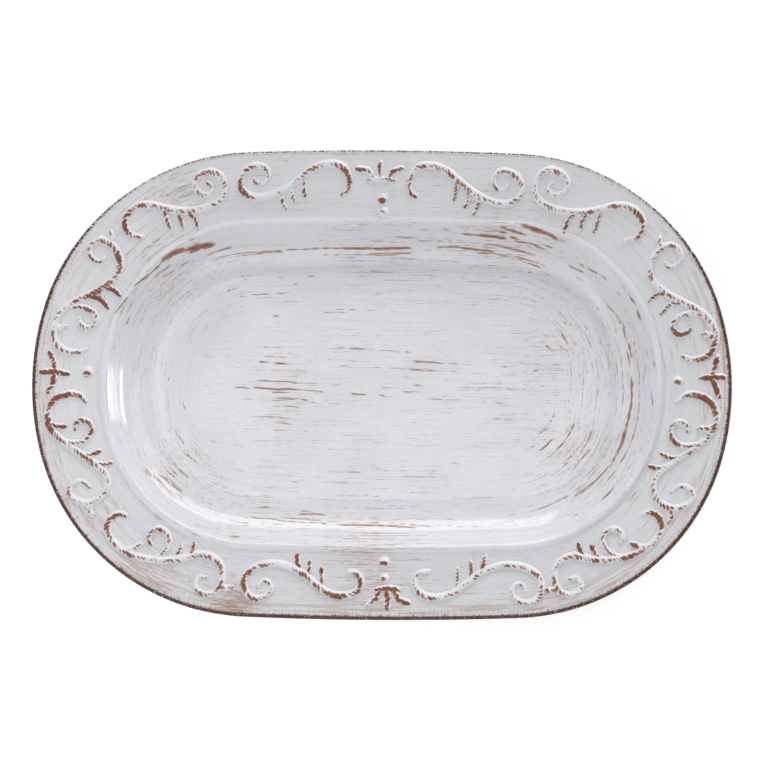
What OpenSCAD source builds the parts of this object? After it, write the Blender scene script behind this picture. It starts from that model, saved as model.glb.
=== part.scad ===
// Oval serving platter: a deep well, a sloping flange with applied scrolls and a milled rim.
// The origin is on the table under the middle of the platter, +X along its length, +Z up.

/* [Outline] */
// Overall length over the milled edge
platter_length = 432; // [380:1:460]
// Overall width over the milled edge
platter_width = 293; // [270:1:310]
// Radius of the long round end
end_radius = 171.7; // [160:0.1:180]
// Radius of the four corner rounds
corner_radius = 136.7; // [125:0.1:145]

/* [Section] */
// Overall height, from the table to the top of the milled edge
platter_height = 35; // [30:0.5:45]
// Distance from the rim to the shoulder of the well
shoulder_inset = 45.5; // [40:0.5:52]
// Drop of the flange from the rim to the shoulder
flange_drop = 6.2; // [3:0.1:9]
// Distance from the rim to the foot of the well wall
wall_foot_inset = 64; // [60:0.5:70]
// Thickness of the floor
floor_thickness = 5; // [4:0.1:7]
// Thickness of the flange
flange_thickness = 4; // [3:0.1:6]
// Rounding of the shoulder
shoulder_radius = 9; // [4:0.5:14]
// Rounding between the wall and the floor
wall_foot_radius = 20; // [8:1:26]

/* [Foot ring] */
// Height of the foot ring under the floor
foot_height = 5; // [4.5:0.1:8]
// Distance from the rim to the outer side of the foot ring
foot_inset = 67; // [66.5:0.5:72]
// Width of the foot ring where it joins the floor
foot_width = 6; // [5:0.5:10]

/* [Milled edge] */
// Width of the milled band
edge_width = 1.8; // [1.2:0.1:3]
// Height of the milled band
edge_height = 4.2; // [3.5:0.1:6]

/* [Applied scrolls] */
// Width of a scroll's stem
scroll_width = 5.4; // [4:0.1:6]
// Height of a scroll above the flange
scroll_height = 1.9; // [1:0.1:2.5]
// Width of a leaf
leaf_width = 3.6; // [2.5:0.1:4.5]
// Height of a leaf above the flange
leaf_height = 1.5; // [1:0.1:2.5]
// Radius of a bead
bead_radius = 3.4; // [2.5:0.1:4]

/* [Hidden] */
$fn = 96;
// Rings swept between two neighbouring points of a scroll
sweep_steps = 2;
// Straight pieces in each rounded corner of the section
round_steps = 6;
// Depth to which an applied piece is pressed into the flange
sink = 0.3;

// The end and corner arcs meet on a line that leans 7 in 24, drawn well past the rim.
seam = [240, 70];
blend_angle = atan2(seam[1], seam[0]);
end_x = platter_length / 2 - end_radius;
corner_x = end_x + (end_radius - corner_radius) * cos(blend_angle);
corner_y = platter_width / 2 - corner_radius;

floor_z = foot_height + floor_thickness;
edge_proud = 0.2;
rim_z = platter_height - edge_proud;
flange_slope = flange_drop / shoulder_inset;
shoulder_z = rim_z - flange_drop;
// The underside follows the top at the thickness of the wall.
under_shoulder_inset = shoulder_inset - 2;
under_wall_foot_inset = wall_foot_inset - 2;
under_radius = 11;

// ---- Motifs ------------------------------------------------------------
// Each motif is drawn once, on the left, as [anchors, scroll strokes, leaf strokes].
// The anchors are the middle of its large volute and the far side of its hook.
// The copy on the right is mirrored and set on anchors of its own, as applied by hand.
side_front = [
    [[-75, -126], [-11.8, -123.5]],
    [[[-75, -126.5], [-74, -124], [-71, -122.3], [-67.6, -124], [-66.8, -128], [-70, -131.8],
      [-76, -133.2], [-81.3, -130.5], [-83.6, -125], [-82.5, -119], [-78, -114.8], [-71, -112.3],
      [-62, -112], [-54, -114.5], [-47, -118.5], [-40, -124], [-33, -129], [-25, -131.2],
      [-17.5, -130.3], [-12.8, -126.5], [-12, -121.3], [-15, -117.3], [-19.5, -116.5]]],
    [[[-49, -115.5], [-51, -111], [-51.3, -106]],
     [[-43.5, -118.5], [-44, -115], [-43.5, -110.5]],
     [[-35.5, -124.5], [-36, -120], [-36, -114.5]]]
];
side_front_right = [[89, -127.5], [20.5, -123.5]];

side_back = [
    [[-80, 126], [-20.7, 126]],
    [[[-80.2, 128], [-79.3, 125.8], [-76, 124.6], [-72.8, 126.8], [-71.5, 131], [-73.8, 134.8],
      [-78.5, 136], [-84, 134.3], [-88, 130], [-89, 125], [-87, 120.3], [-82.5, 117.2],
      [-76.5, 116.3], [-69, 118], [-62, 121], [-55.5, 125.3], [-50, 129.5], [-44.5, 133.7],
      [-38, 136.6], [-31, 137.4], [-25.5, 135.8], [-22, 131.5], [-20.7, 126], [-21.8, 121],
      [-25, 118.5]]],
    [[[-63.2, 119], [-62.5, 113.5], [-60.5, 109.5]],
     [[-57, 122], [-56.5, 117.5], [-55, 113.5]],
     [[-49.5, 127.5], [-49, 122], [-48.5, 117.5]]]
];
side_back_right = [[77.5, 123], [16.5, 125.5]];

corner_back = [
    [[-108, 125], [-160.2, 101]],
    [[[-109.3, 125], [-107, 123.6], [-106.3, 120.8], [-109, 117.8], [-113.3, 118.2],
      [-116.8, 121.5], [-117, 126], [-113.5, 130.3], [-107.5, 132], [-102, 129.8], [-98.9, 125],
      [-98.8, 118.5], [-102.5, 113.2], [-110, 109.8], [-119, 107.7], [-128, 107.5],
      [-137, 109.2], [-145, 110.8], [-152, 110], [-157.5, 106.3], [-160.2, 101],
      [-159.3, 95.5], [-155.5, 91.8], [-149.5, 90.7]]],
    [[[-121.5, 106.5], [-117.5, 103], [-115, 96.3]],
     [[-128, 106.5], [-125.8, 102], [-124.2, 97]],
     [[-136, 107.5], [-134, 101.5], [-132.2, 96.2]]]
];
corner_back_right = [[105, 126.5], [162, 101.5]];

corner_front = [
    [[-105, -124.5], [-167.5, -90.5]],
    [[[-106.5, -120.5], [-110.5, -120.3], [-113, -124.3], [-111.5, -128.8], [-106.5, -131],
      [-100.8, -129.6], [-97.3, -125], [-96.6, -118.5], [-98.3, -112], [-103.5, -107.8],
      [-110.5, -106.3], [-118, -108.3], [-126, -110], [-135, -110.3], [-144, -109.3],
      [-152, -107], [-159, -103.3], [-164.5, -98], [-167.5, -91.5], [-166, -85],
      [-161, -81.7], [-156, -83]],
     [[-142, -109], [-136, -107.5], [-131.2, -103.5], [-129.4, -98], [-131.5, -92.8],
      [-136.5, -90.8], [-141.2, -93.2], [-142.3, -98], [-140, -100.5]],
     [[-158, -104], [-152.5, -103.5], [-147, -100.7]],
     [[-98, -125.5], [-94.5, -127.3], [-90.5, -126.3]]],
    [[[-126.5, -109.5], [-124.2, -106], [-122, -101]],
     [[-119.5, -108.5], [-115.6, -105.5], [-113.8, -99]]]
];
corner_front_right = [[114.5, -124], [172, -87]];

end_front = [
    [[-180, -69], [-205.5, -20]],
    [[[-178.7, -65.7], [-182, -62.8], [-186.5, -62.5], [-190.5, -65.5], [-190.6, -70.5],
      [-186, -74.3], [-179.5, -75.6], [-173, -73], [-169.2, -68], [-168.3, -62],
      [-170.7, -56.3], [-175.5, -51.7], [-181.5, -47.5], [-187.5, -43.5], [-194, -39],
      [-199.5, -34], [-204, -27.5], [-205.3, -20.5], [-203, -13.8], [-198, -9.6],
      [-191.5, -7.8], [-186, -8.8], [-182.3, -12.5]],
     [[-199, -34], [-194.5, -37.3], [-187.5, -38.7], [-181.5, -36.3], [-178.6, -31],
      [-180, -26], [-184.5, -24.2], [-188.2, -26.5], [-188.7, -30]],
     [[-204, -27], [-199.5, -28.4], [-194.5, -28]],
     [[-177, -75], [-178.5, -79.5], [-177, -84]]],
    [[[-189, -42], [-184.5, -45], [-179, -45.7], [-173, -43]],
     [[-177, -49.8], [-171.5, -51.8], [-166, -50.5]]]
];
end_front_right = [[179.5, -70], [206.5, -19]];

end_back = [
    [[-172.5, 81.7], [-203, 28.5]],
    [[[-172.5, 77.5], [-175, 75.2], [-179.3, 76.5], [-182, 80.5], [-180.5, 85.5],
      [-175.5, 88.5], [-169.5, 86.5], [-165, 81.5], [-163, 75], [-164, 68.5], [-168, 63],
      [-174, 58.5], [-181, 54.5], [-188, 51], [-194.5, 47], [-199.5, 42], [-202.5, 35.5],
      [-203, 28.5], [-200.5, 22.5], [-195.5, 19], [-189, 18], [-183.5, 19.8]],
     [[-197, 44.5], [-192.5, 46], [-186.5, 46.3], [-180.5, 44.2], [-177, 39.5],
      [-178.5, 35], [-183, 33.3], [-187, 36], [-187.7, 40]],
     [[-202.5, 32], [-199, 33.2], [-195.3, 33.8]],
     [[-169.5, 86.5], [-168.3, 90], [-168.8, 93.5]]],
    [[[-183, 53], [-177, 52.3], [-172.8, 49.5], [-170, 46]],
     [[-175, 59], [-169, 58.3], [-165.5, 56.5], [-162.8, 54]]]
];
end_back_right = [[176, 80], [206, 26]];

palmette_front_strokes = [
    [[-2.5, -127.3], [4.5, -126.8], [11.5, -127.5]],
    [[-0.5, -128.5], [-3, -133], [-8, -137]],
    [[4.2, -128], [4.2, -133], [4.2, -139]],
    [[8.5, -128.5], [11.5, -133.5], [17, -135.5]]
];
palmette_back_strokes = [
    [[-9, 127], [-1, 127.8], [7, 127.3]],
    [[-5.5, 128.5], [-9.5, 133.3], [-16, 134.5]],
    [[-1.8, 128], [-1.8, 133], [-1.6, 138.5]],
    [[3.5, 128.5], [6, 132.8], [12, 134.8]]
];
palmette_left_strokes = [
    [[-193.5, 4.5], [-198, 5.2], [-203, 6]],
    [[-202, 6], [-206, 5.8], [-210, 5.2]],
    [[-201.5, 7], [-202.5, 12], [-205, 17.5]],
    [[-202, 4.5], [-203, -1], [-205.5, -7]]
];
palmette_right_strokes = [
    [[197, 3.8], [200.5, 4.2], [205, 4.4]],
    [[204, 4.4], [207.5, 4.5], [211, 4.3]],
    [[203.5, 5.5], [206, 11], [207.3, 17]],
    [[203.5, 3.5], [206.3, -2], [208, -8]]
];

// ---- Shape functions ---------------------------------------------------
function unit(v) = v / norm(v);

// An arc of radius r that rounds the corner b between a and c.
function fillet(a, b, c, r) =
    let (u = unit(a - b), v = unit(c - b), half = acos(u * v) / 2, turn = 180 - 2 * half,
         centre = b + unit(u + v) * r / sin(half),
         s = b + u * r / tan(half) - centre, e = b + v * r / tan(half) - centre)
    [for (k = [0:round_steps])
        centre + (sin(turn * (1 - k / round_steps)) * s + sin(turn * k / round_steps) * e) / sin(turn)];

// A path whose corner i is rounded by radius r[i], or left sharp where that is 0.
function rounded(p, r) =
    [for (i = [0:len(p) - 1]) each (r[i] == 0 ? [p[i]] : fillet(p[i - 1], p[i], p[i + 1], r[i]))];

// A smooth curve through the points of p.
function bend(a, b, c, d, t) =
    (2 * b + (c - a) * t + (2 * a - 5 * b + 4 * c - d) * t * t + (3 * b - a - 3 * c + d) * t * t * t) / 2;
function spline(p) =
    let (m = len(p), q = concat([2 * p[0] - p[1]], p, [2 * p[m - 1] - p[m - 2]]))
    concat([for (i = [1:m - 1]) for (k = [0:sweep_steps - 1])
                bend(q[i - 1], q[i], q[i + 1], q[i + 2], k / sweep_steps)], [p[m - 1]]);

// Products and quotients of plane vectors, which turn and scale together.
function times(a, b) = [a[0] * b[0] - a[1] * b[1], a[0] * b[1] + a[1] * b[0]];
function over(a, b) = times(a, [b[0], -b[1]]) / (b * b);

function mirror_x(p) = [for (q = p) [-q[0], q[1]]];
// Carries points from one pair of anchors to another.
function carried(p, from, to) =
    [for (q = p) to[0] + times(q - from[0], over(to[1] - to[0], from[1] - from[0]))];
function on_right(p, motif, anchors) = carried(mirror_x(p), mirror_x(motif[0]), anchors);

// Distance in from the rim, and the height of the flange there.
function inset(q) =
    let (x = abs(q[0]), y = abs(q[1]))
    x > end_x && atan2(y, x - end_x) < blend_angle ? end_radius - norm([x - end_x, y])
    : x > corner_x ? corner_radius - norm([x - corner_x, y - corner_y])
    : platter_width / 2 - y;
function flange_z(q) = rim_z - flange_slope * inset(q);

// ---- Building blocks ---------------------------------------------------
// The part of a turned solid that lies over a wedge of the plan.
module turned(points, wedge) {
    clear = 1;
    intersection() {
        rotate_extrude() polygon(points);
        translate([0, 0, -clear]) linear_extrude(platter_height + 2 * clear) polygon(wedge);
    }
}

// Sweeps a section of [inset, height] points round the outline. A section that is filled
// runs in to the arc centres, where the floor closes it.
module round_outline(section, filled = false) {
    function closed(r) = filled ? concat([[r, floor_z]], section, [[r, foot_height]]) : section;
    function at_radius(r) = [for (q = closed(r)) [r - q[0], q[1]]];
    for (side = [0, 1]) mirror([side, 0, 0]) {
        translate([end_x, 0, 0])
            turned(at_radius(end_radius), [[0, 0], [seam[0], -seam[1]], seam]);
        for (front = [0, 1]) mirror([0, front, 0])
            translate([corner_x, corner_y, 0])
                turned(at_radius(corner_radius), [[0, 0], seam, [seam[0], seam[0]], [0, seam[0]]]);
    }
    for (front = [0, 1]) mirror([0, front, 0])
        translate([-corner_x, corner_y, 0]) rotate([90, 0, 90])
            linear_extrude(2 * corner_x) polygon(at_radius(corner_radius));
}

// The floor between the arc centres.
module middle_floor() {
    translate([0, 0, foot_height]) linear_extrude(floor_thickness)
        polygon([[end_x, 0], [corner_x, corner_y], [-corner_x, corner_y],
                 [-end_x, 0], [-corner_x, -corner_y], [corner_x, -corner_y]]);
}

// Half-round section of an applied piece: [across, up], where up below 0 is pressed in.
dome = [[-0.5, -1], [-0.4, 0.55], [-0.17, 1], [0.17, 1], [0.4, 0.55], [0.5, -1]];
// Swelling of a stroke from its first end to its last.
root_length = 0.3;
tip_length = 0.15;
function swell(u, first, last) =
    min(first + (1 - first) * sin(90 * min(1, u / root_length)),
        last + (1 - last) * sin(90 * min(1, (1 - u) / tip_length)));

// A ridge of clay that lies on the flange along a smooth curve.
module ridge(points, width, height, first = 0.5, last = 0.6) {
    path = spline(points);
    n = len(path);
    m = len(dome);
    rings = [for (i = [0:n - 1])
        let (ahead = unit(path[min(i + 1, n - 1)] - path[max(i - 1, 0)]),
             across = [-ahead[1], ahead[0]], size = swell(i / (n - 1), first, last))
        each [for (s = dome)
            let (q = path[i] + across * s[0] * width * size)
            [q[0], q[1], flange_z(q) + (s[1] > 0 ? s[1] * height * size : -sink)]]];
    sides = [for (i = [0:n - 2]) for (j = [0:m - 1])
        let (a = i * m + j, b = i * m + (j + 1) % m)
        each [[a, b, b + m], [a, b + m, a + m]]];
    ends = [[for (j = [m - 1:-1:0]) j], [for (j = [0:m - 1]) (n - 1) * m + j]];
    polyhedron(rings, concat(sides, ends));
}

// A round boss on the flange.
module bead(q, radius) {
    translate([q[0], q[1], flange_z(q) - 2 * sink])
        rotate_extrude()
            polygon([[0, 0], [radius, 0], [0.93 * radius, 1.1], [0.7 * radius, 1.9],
                     [0.38 * radius, 2.4], [0, 2.5]]);
}

// ---- Sub-parts ---------------------------------------------------------
module platter_body() {
    section = rounded(
        [[wall_foot_inset + 12, floor_z], [wall_foot_inset, floor_z], [shoulder_inset, shoulder_z],
         [edge_width, rim_z - flange_slope * edge_width], [edge_width, rim_z - flange_thickness],
         [under_shoulder_inset, shoulder_z - flange_thickness], [under_wall_foot_inset, foot_height],
         [under_wall_foot_inset + 8, foot_height]],
        [0, wall_foot_radius, shoulder_radius, 0, 0, under_radius, under_radius, 0]);
    color("whitesmoke") {
        round_outline(section, filled = true);
        middle_floor();
    }
}

module foot_ring() {
    batter = 1.2;
    toe = 1;
    color("linen")
        round_outline(rounded(
            [[foot_inset, foot_height], [foot_inset + batter, 0],
             [foot_inset + foot_width - batter, 0], [foot_inset + foot_width, foot_height]],
            [0, toe, toe, 0]));
}

module milled_edge() {
    color("saddlebrown")
        round_outline(rounded(
            [[edge_width, platter_height], [0, platter_height],
             [0, platter_height - edge_height], [edge_width, platter_height - edge_height]],
            [0, 0.7, 1, 0]));
}

// The scroll strokes of a motif: the first is the stem, the rest are its offshoots.
module scroll(strokes) {
    offshoot_scale = 0.85;
    color("gainsboro")
        for (i = [0:len(strokes) - 1])
            ridge(strokes[i], scroll_width * (i == 0 ? 1 : offshoot_scale), scroll_height);
}
module scroll_left(motif) { scroll(motif[1]); }
module scroll_right(motif, anchors) {
    scroll([for (s = motif[1]) on_right(s, motif, anchors)]);
}

// The short leaves that stand off a stem.
module leaves(strokes) {
    color("lightgray")
        for (s = strokes) ridge(s, leaf_width, leaf_height, first = 0.55, last = 0.7);
}
module leaves_left(motif) { leaves(motif[2]); }
module leaves_right(motif, anchors) {
    leaves([for (s = motif[2]) on_right(s, motif, anchors)]);
}

// A fleur of a bar or stem and three petals.
module palmette(strokes) {
    color("silver")
        for (s = strokes) ridge(s, leaf_width * 1.15, leaf_height, first = 0.7, last = 0.75);
}

module beads(places) {
    color("lightsteelblue")
        for (p = places) bead([p[0], p[1]], p[2]);
}

platter_body();
foot_ring();
milled_edge();

scroll_left(side_front);  // side_scroll_front_left
scroll_right(side_front, side_front_right);  // side_scroll_front_right
scroll_left(side_back);  // side_scroll_back_left
scroll_right(side_back, side_back_right);  // side_scroll_back_right
scroll_left(corner_front);  // corner_scroll_front_left
scroll_right(corner_front, corner_front_right);  // corner_scroll_front_right
scroll_left(corner_back);  // corner_scroll_back_left
scroll_right(corner_back, corner_back_right);  // corner_scroll_back_right
scroll_left(end_front);  // end_scroll_front_left
scroll_right(end_front, end_front_right);  // end_scroll_front_right
scroll_left(end_back);  // end_scroll_back_left
scroll_right(end_back, end_back_right);  // end_scroll_back_right

leaves_left(side_front);  // side_leaves_front_left
leaves_right(side_front, side_front_right);  // side_leaves_front_right
leaves_left(side_back);  // side_leaves_back_left
leaves_right(side_back, side_back_right);  // side_leaves_back_right
leaves_left(corner_front);  // corner_leaves_front_left
leaves_right(corner_front, corner_front_right);  // corner_leaves_front_right
leaves_left(corner_back);  // corner_leaves_back_left
leaves_right(corner_back, corner_back_right);  // corner_leaves_back_right
leaves_left(end_front);  // end_leaves_front_left
leaves_right(end_front, end_front_right);  // end_leaves_front_right
leaves_left(end_back);  // end_leaves_back_left
leaves_right(end_back, end_back_right);  // end_leaves_back_right

palmette(palmette_front_strokes);  // palmette_front
palmette(palmette_back_strokes);  // palmette_back
palmette(palmette_left_strokes);  // palmette_left
palmette(palmette_right_strokes);  // palmette_right

beads([[2, -110.5, bead_radius], [2.3, -120.5, 2.7]]);  // beads_front
beads([[0, 116, 3.2], [0, 107.5, bead_radius]]);  // beads_back
beads([[-181.8, 5.8, bead_radius]]);  // bead_left
beads([[183, 1.8, bead_radius]]);  // bead_right
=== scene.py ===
"""Looks of an oval china serving platter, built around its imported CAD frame.

Lengths are written in millimetres and turned into metres where a mesh is made. The platter's
own frame is the row frame: +X along its length, +Y away from the front, +Z up.
"""

import math

import bpy
import numpy as np
from mathutils import Matrix, Vector


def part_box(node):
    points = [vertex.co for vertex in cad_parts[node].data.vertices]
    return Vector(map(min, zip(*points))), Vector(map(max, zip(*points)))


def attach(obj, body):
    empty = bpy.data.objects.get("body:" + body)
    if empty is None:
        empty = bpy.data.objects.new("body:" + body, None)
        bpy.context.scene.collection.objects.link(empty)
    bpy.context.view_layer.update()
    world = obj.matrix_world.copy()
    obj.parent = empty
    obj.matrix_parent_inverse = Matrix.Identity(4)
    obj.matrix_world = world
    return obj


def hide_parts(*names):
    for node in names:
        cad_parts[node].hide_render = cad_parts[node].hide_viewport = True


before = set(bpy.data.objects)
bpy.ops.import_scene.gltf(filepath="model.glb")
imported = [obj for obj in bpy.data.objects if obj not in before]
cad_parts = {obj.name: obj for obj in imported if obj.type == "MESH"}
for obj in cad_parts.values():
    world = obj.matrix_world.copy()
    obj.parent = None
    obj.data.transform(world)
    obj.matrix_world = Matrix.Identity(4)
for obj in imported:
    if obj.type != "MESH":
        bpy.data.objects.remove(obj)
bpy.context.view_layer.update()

MM = 0.001
HALF_LENGTH, HALF_WIDTH, RIM_TOP = np.array(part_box("milled_edge")[1]) / MM
FOOT_REACH, _, FLOOR_BOTTOM = np.array(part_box("foot_ring")[1]) / MM

# ---- Camera: above the platter's middle, leaning a little to the front ----
LENS, SENSOR = 115.07, 36
ELEVATION = math.radians(82.43)
ROLL = math.radians(0.319)
DISTANCE = 1512
TARGET = Vector((1.23, -1.49, 35))
BACKWARD = Vector((0, -math.cos(ELEVATION), math.sin(ELEVATION)))
EYE = TARGET + BACKWARD * DISTANCE

# ---- Outline: end, corner and long-side arcs that meet tangentially ----
END_RADIUS, CORNER_RADIUS = 170.2, 136.3
END_SWEEP = math.radians(14.83)
END_X = HALF_LENGTH - END_RADIUS
CORNER_X = END_X + (END_RADIUS - CORNER_RADIUS) * math.cos(END_SWEEP)
CORNER_Y = (END_RADIUS - CORNER_RADIUS) * math.sin(END_SWEEP)
SIDE_BOW = HALF_WIDTH - CORNER_Y - CORNER_RADIUS
CORNER_SWEEP = math.pi / 2 - 2 * math.atan(SIDE_BOW / CORNER_X)
SIDE_RADIUS = CORNER_RADIUS + CORNER_X / math.cos(CORNER_SWEEP)
SIDE_Y = HALF_WIDTH - SIDE_RADIUS
END_ARC = END_RADIUS * END_SWEEP
CORNER_ARC = CORNER_RADIUS * (CORNER_SWEEP - END_SWEEP)
QUARTER = END_ARC + CORNER_ARC + SIDE_RADIUS * (math.pi / 2 - CORNER_SWEEP)
PERIMETER = 4 * QUARTER
RING_RADIUS = PERIMETER / (2 * math.pi)


def station(s):
    """Points of the outline at arc lengths s, counter-clockwise from (+x, 0), and their outward normals."""
    s = np.mod(s, PERIMETER)
    quadrant = np.minimum((s // QUARTER).astype(int), 3)
    along = np.where(quadrant % 2 == 0, s - quadrant * QUARTER, (quadrant + 1) * QUARTER - s)
    in_end, in_corner = along < END_ARC, along < END_ARC + CORNER_ARC
    which = [in_end, in_corner]
    angle = np.select(which, [along / END_RADIUS, END_SWEEP + (along - END_ARC) / CORNER_RADIUS],
                      CORNER_SWEEP + (along - END_ARC - CORNER_ARC) / SIDE_RADIUS)
    radius = np.select(which, [END_RADIUS, CORNER_RADIUS], SIDE_RADIUS)
    centre_x = np.select(which, [END_X, CORNER_X], 0.0)
    centre_y = np.select(which, [0.0, CORNER_Y], SIDE_Y)
    flip_x = np.where((quadrant == 1) | (quadrant == 2), -1.0, 1.0)
    flip_y = np.where(quadrant >= 2, -1.0, 1.0)
    normal = np.stack([flip_x * np.cos(angle), flip_y * np.sin(angle)], -1)
    centre = np.stack([flip_x * centre_x, flip_y * centre_y], -1)
    return centre + normal * radius[..., None], normal


def inset_and_arc(x, y):
    """How far points lie inside the outline, and the arc length of the outline point nearest to each."""
    ax, ay = np.abs(x), np.abs(y)
    end_angle = np.arctan2(ay, ax - END_X)
    corner_angle = np.arctan2(ay - CORNER_Y, ax - CORNER_X)
    in_end = (ax > END_X) & (end_angle < END_SWEEP)
    in_corner = ~in_end & (ax > CORNER_X) & (corner_angle < CORNER_SWEEP)
    side_angle = np.arctan2(ay - SIDE_Y, ax)
    which = [in_end, in_corner]
    inset = np.select(which, [END_RADIUS - np.hypot(ax - END_X, ay),
                              CORNER_RADIUS - np.hypot(ax - CORNER_X, ay - CORNER_Y)],
                      SIDE_RADIUS - np.hypot(ax, ay - SIDE_Y))
    corner_angle = np.clip(corner_angle, END_SWEEP, CORNER_SWEEP)
    side_angle = np.maximum(side_angle, CORNER_SWEEP)
    along = np.select(which, [END_RADIUS * end_angle, END_ARC + CORNER_RADIUS * (corner_angle - END_SWEEP)],
                      END_ARC + CORNER_ARC + SIDE_RADIUS * (side_angle - CORNER_SWEEP))
    arc = np.where(x >= 0, np.where(y >= 0, along, PERIMETER - along),
                   np.where(y >= 0, 2 * QUARTER - along, 2 * QUARTER + along))
    return inset, arc


# ---- Section of the platter, as [inset from the outline, height] ----
EDGE_WIDTH = 1.8
RIM_Z = RIM_TOP - 0.2
RIM_THICKNESS = 4.1
DISH, DISH_RADIUS = (40.8, 28.9), 3.5
LIP, LIP_RADIUS = (44.9, 30.35), 2.4
FLOOR_TOP = FLOOR_BOTTOM + 5
WALL_FOOT, WALL_FOOT_RADIUS = (64.0, FLOOR_TOP), 36
UNDER_SHOULDER, UNDER_FOOT, UNDER_RADIUS = (43.5, 24.6), (62, FLOOR_BOTTOM), 11
MIDDLE = 200  # an inset past the middle of the platter


def fillet(a, b, c, radius, steps=14):
    """Points of an arc that rounds the corner b of the path a, b, c."""
    a, b, c = (np.array(p, float) for p in (a, b, c))
    u, v = (a - b) / np.linalg.norm(a - b), (c - b) / np.linalg.norm(c - b)
    half = math.acos(u @ v) / 2
    turn = math.pi - 2 * half
    centre = b + (u + v) / np.linalg.norm(u + v) * radius / math.sin(half)
    start, end = b + u * radius / math.tan(half) - centre, b + v * radius / math.tan(half) - centre
    shares = [(math.sin(turn * (1 - k / steps)), math.sin(turn * k / steps)) for k in range(steps + 1)]
    return [centre + (first * start + last * end) / math.sin(turn) for first, last in shares]


# The flange dishes down to the well's lip, which stands a little proud of it.
top_path = [(0, RIM_Z), DISH, LIP, WALL_FOOT, (MIDDLE, FLOOR_TOP)]
top_curve = np.array([top_path[0], *fillet(*top_path[:3], DISH_RADIUS), *fillet(*top_path[1:4], LIP_RADIUS),
                      *fillet(*top_path[2:], WALL_FOOT_RADIUS), top_path[-1]])
under_path = [(0, RIM_Z - RIM_THICKNESS), UNDER_SHOULDER, UNDER_FOOT, (MIDDLE, FLOOR_BOTTOM)]
under_curve = np.array([under_path[0], *fillet(*under_path[:3], UNDER_RADIUS),
                        *fillet(*under_path[1:], UNDER_RADIUS), under_path[3]])


def top_z(inset):
    return np.interp(inset, top_curve[:, 0], top_curve[:, 1])


def under_z(inset):
    return np.interp(inset, under_curve[:, 0], under_curve[:, 1])


# ---- Mesh helpers ----
def new_mesh_object(name, verts_mm, faces, material):
    mesh = bpy.data.meshes.new(name)
    mesh.from_pydata((np.asarray(verts_mm) * MM).tolist(), [], [list(f) for f in faces])
    mesh.polygons.foreach_set("use_smooth", [True] * len(mesh.polygons))
    mesh.materials.append(material)
    obj = bpy.data.objects.new(name, mesh)
    bpy.context.scene.collection.objects.link(obj)
    return obj


def point_attribute(obj, name, values):
    values = np.asarray(values, np.float32)
    kind, field = ("FLOAT_VECTOR", "vector") if values.ndim == 2 else ("FLOAT", "value")
    obj.data.attributes.new(name, kind, "POINT").data.foreach_set(field, values.ravel())


def brush_vector(inset, arc):
    """A seamless 3-D place for each point: round a ring by arc length, and across by inset."""
    turn = 2 * math.pi * np.asarray(arc) / PERIMETER
    return np.stack([RING_RADIUS * np.cos(turn), RING_RADIUS * np.sin(turn), inset], -1)


def ring_faces(rows, columns, closed_rows=False):
    """Quads between the rows of a ring of columns; closed_rows joins the last row to the first."""
    i = np.arange(rows if closed_rows else rows - 1)[:, None]
    j = np.arange(columns)[None, :]
    a, b = i * columns + j, i * columns + (j + 1) % columns
    i2 = (i + 1) % rows
    c, d = i2 * columns + (j + 1) % columns, i2 * columns + j
    return np.stack([a, b, c, d], -1).reshape(-1, 4)


SAMPLE = 0.3  # step along a stroke's centreline
STEPS_PER_KNOT = 12


def curve_points(points):
    """A smooth curve through the points, sampled evenly."""
    p = np.array(points, float)
    q = np.vstack([2 * p[0] - p[1], p, 2 * p[-1] - p[-2]])
    t = np.linspace(0, 1, STEPS_PER_KNOT, endpoint=False)[:, None]
    pieces = []
    for a, b, c, d in zip(q[:-3], q[1:-2], q[2:-1], q[3:]):
        bend, twist = 2 * a - 5 * b + 4 * c - d, 3 * b - a - 3 * c + d
        pieces.append((2 * b + (c - a) * t + bend * t**2 + twist * t**3) / 2)
    path = np.vstack([*pieces, p[-1:]])
    length = np.concatenate([[0], np.cumsum(np.linalg.norm(np.diff(path, axis=0), axis=1))])
    even = np.linspace(0, length[-1], max(4, int(length[-1] / SAMPLE)))
    return np.stack([np.interp(even, length, path[:, k]) for k in (0, 1)], -1), even


def rim_wear_and_back_highlight(y):
    """How brown the edge is: 1 at the ends and the front, low at the back. The cream this gives the rim's
    outer face at the back is painted highlight as well as glaze.
    """
    backness = np.clip((y / HALF_WIDTH - 0.35) / 0.5, 0, 1)
    return 1 - 0.85 * backness**1.2


# ---- Shader helpers ----
GLASS_IOR = 1.5


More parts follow.
